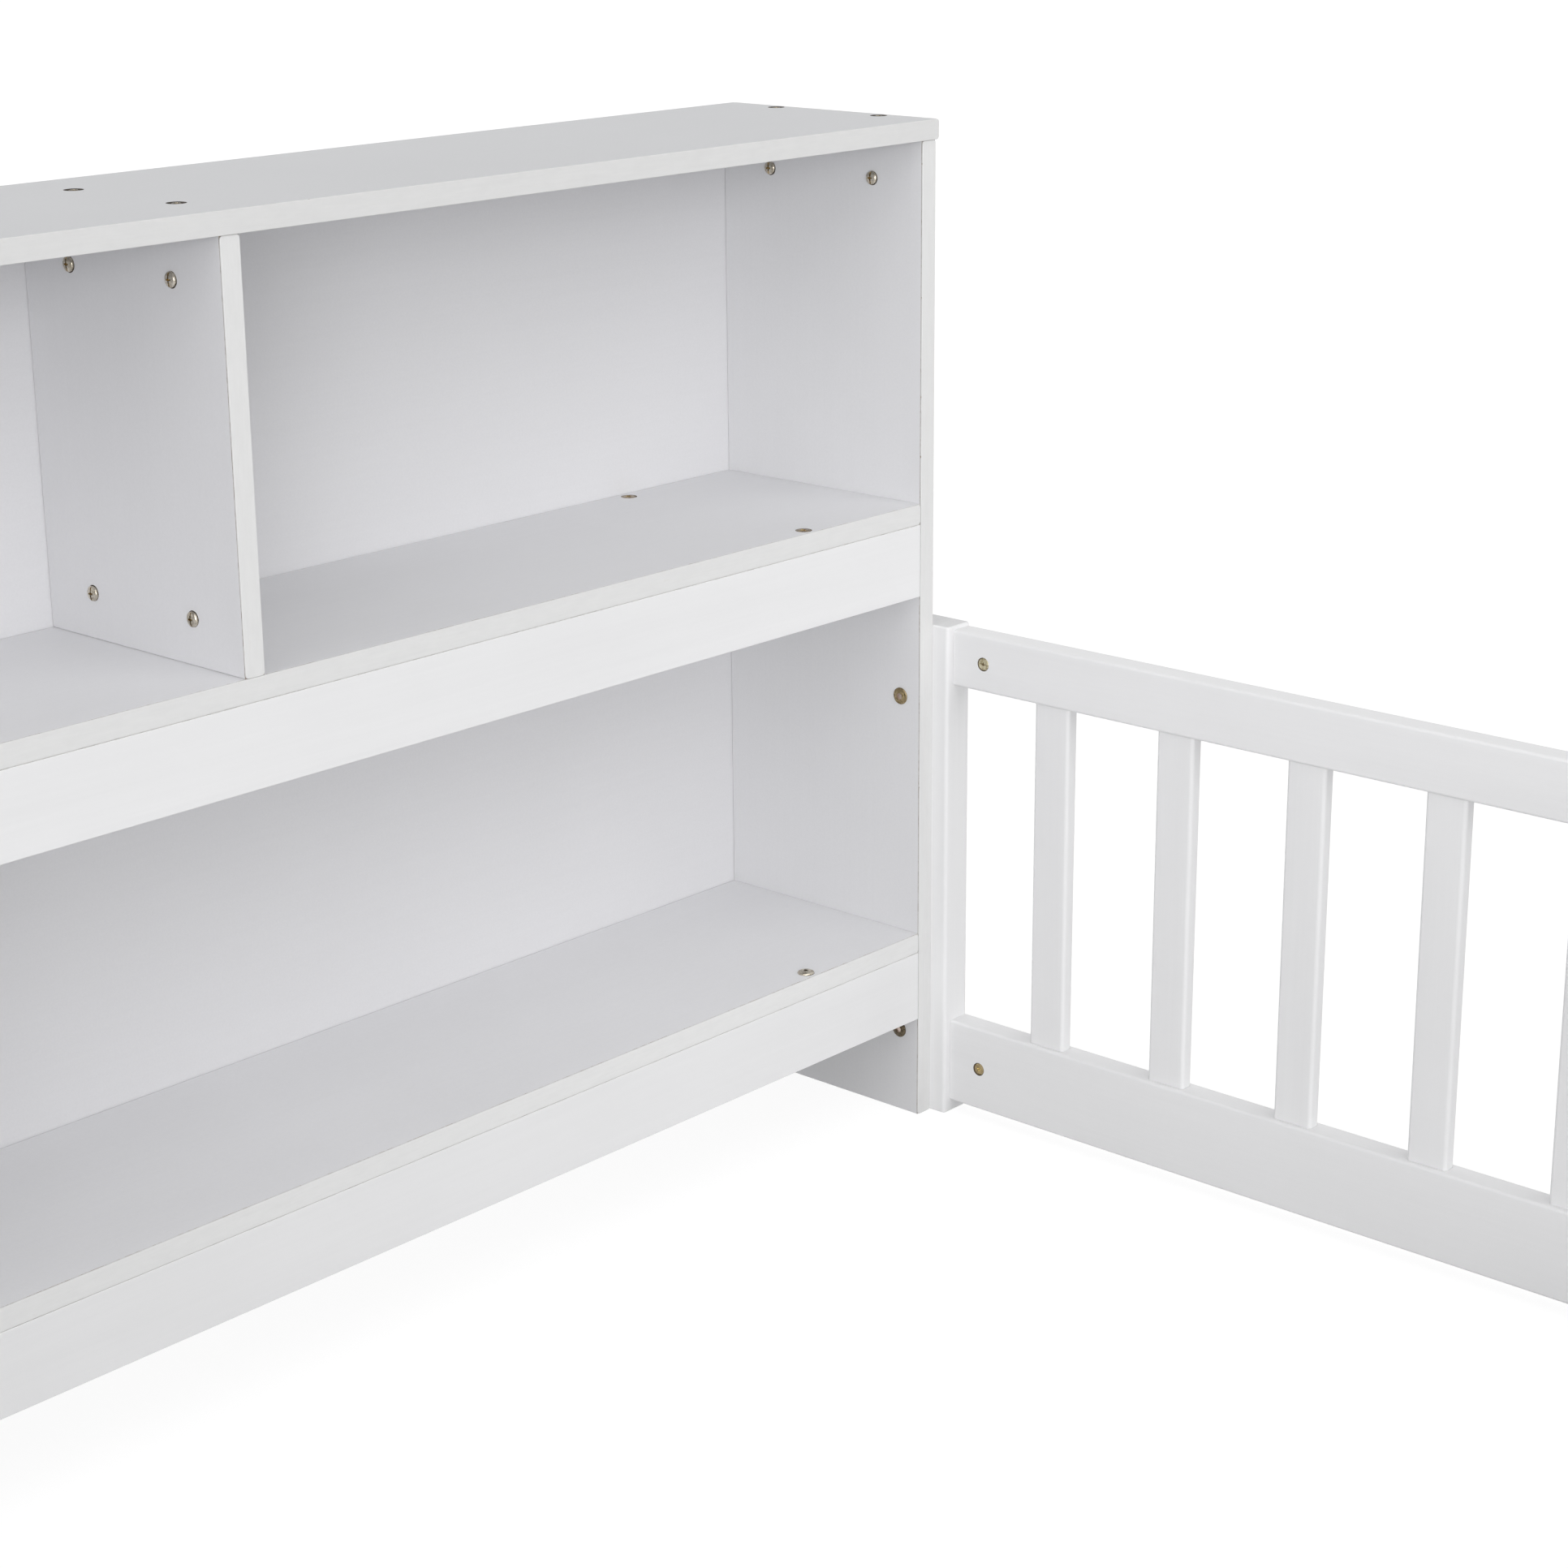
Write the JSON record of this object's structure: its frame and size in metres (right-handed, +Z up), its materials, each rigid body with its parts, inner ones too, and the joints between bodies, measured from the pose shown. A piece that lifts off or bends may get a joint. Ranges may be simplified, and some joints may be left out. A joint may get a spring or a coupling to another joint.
{
  "type": "floor bed",
  "caption": "Low floor bed frame with a long side bookcase, slatted guard panels at both ends and along the front, and a way in at the middle of the front.",
  "frame": {"origin": "on the floor, under the middle of the bed's bounding box", "axes": "+X along the bookcase, +Y to the bookcase's back, +Z up"},
  "size_m": [2.051, 1.2474, 0.8],
  "materials": {
    "board_white": "satin white coated board with white banded edges",
    "timber_white": "satin white paint over planed timber, faint grain",
    "back_white": "matt white coated thin panel",
    "zinc": "yellow zinc plated steel"
  },
  "bodies": {
    "root": {"top_board": "board_white", "middle_shelf": "board_white", "lower_shelf": "board_white", "side_panel_right": "board_white", "side_panel_left": "board_white", "upper_divider_1": "board_white", "upper_divider_2": "board_white", "lower_divider": "board_white", "centre_foot": "board_white", "back_panel_upper": "back_white", "back_panel_lower": "back_white", "middle_front_batten": "timber_white", "middle_rear_batten": "timber_white", "lower_front_batten": "timber_white", "lower_rear_batten": "timber_white", "rear_post_right": "timber_white", "rear_post_left": "timber_white", "corner_post_right": "timber_white", "corner_post_left": "timber_white", "gate_post_right": "timber_white", "gate_post_left": "timber_white", "right_guard_top_rail": "timber_white", "right_guard_bottom_rail": "timber_white", "right_guard_slat_1": "timber_white", "right_guard_slat_2": "timber_white", "right_guard_slat_3": "timber_white", "right_guard_slat_4": "timber_white", "right_guard_slat_5": "timber_white", "right_guard_slat_6": "timber_white", "right_guard_slat_7": "timber_white", "right_guard_slat_8": "timber_white", "left_guard_top_rail": "timber_white", "left_guard_bottom_rail": "timber_white", "left_guard_slat_1": "timber_white", "left_guard_slat_2": "timber_white", "left_guard_slat_3": "timber_white", "left_guard_slat_4": "timber_white", "left_guard_slat_5": "timber_white", "left_guard_slat_6": "timber_white", "left_guard_slat_7": "timber_white", "left_guard_slat_8": "timber_white", "front_right_guard_top_rail": "timber_white", "front_right_guard_bottom_rail": "timber_white", "front_right_guard_slat_1": "timber_white", "front_right_guard_slat_2": "timber_white", "front_right_guard_slat_3": "timber_white", "front_right_guard_slat_4": "timber_white", "front_left_guard_top_rail": "timber_white", "front_left_guard_bottom_rail": "timber_white", "front_left_guard_slat_1": "timber_white", "front_left_guard_slat_2": "timber_white", "front_left_guard_slat_3": "timber_white", "front_left_guard_slat_4": "timber_white", "post_bolt_right_low": "zinc", "post_bolt_right_high": "zinc", "post_bolt_left_low": "zinc", "post_bolt_left_high": "zinc"}
  },
  "joints": []
}
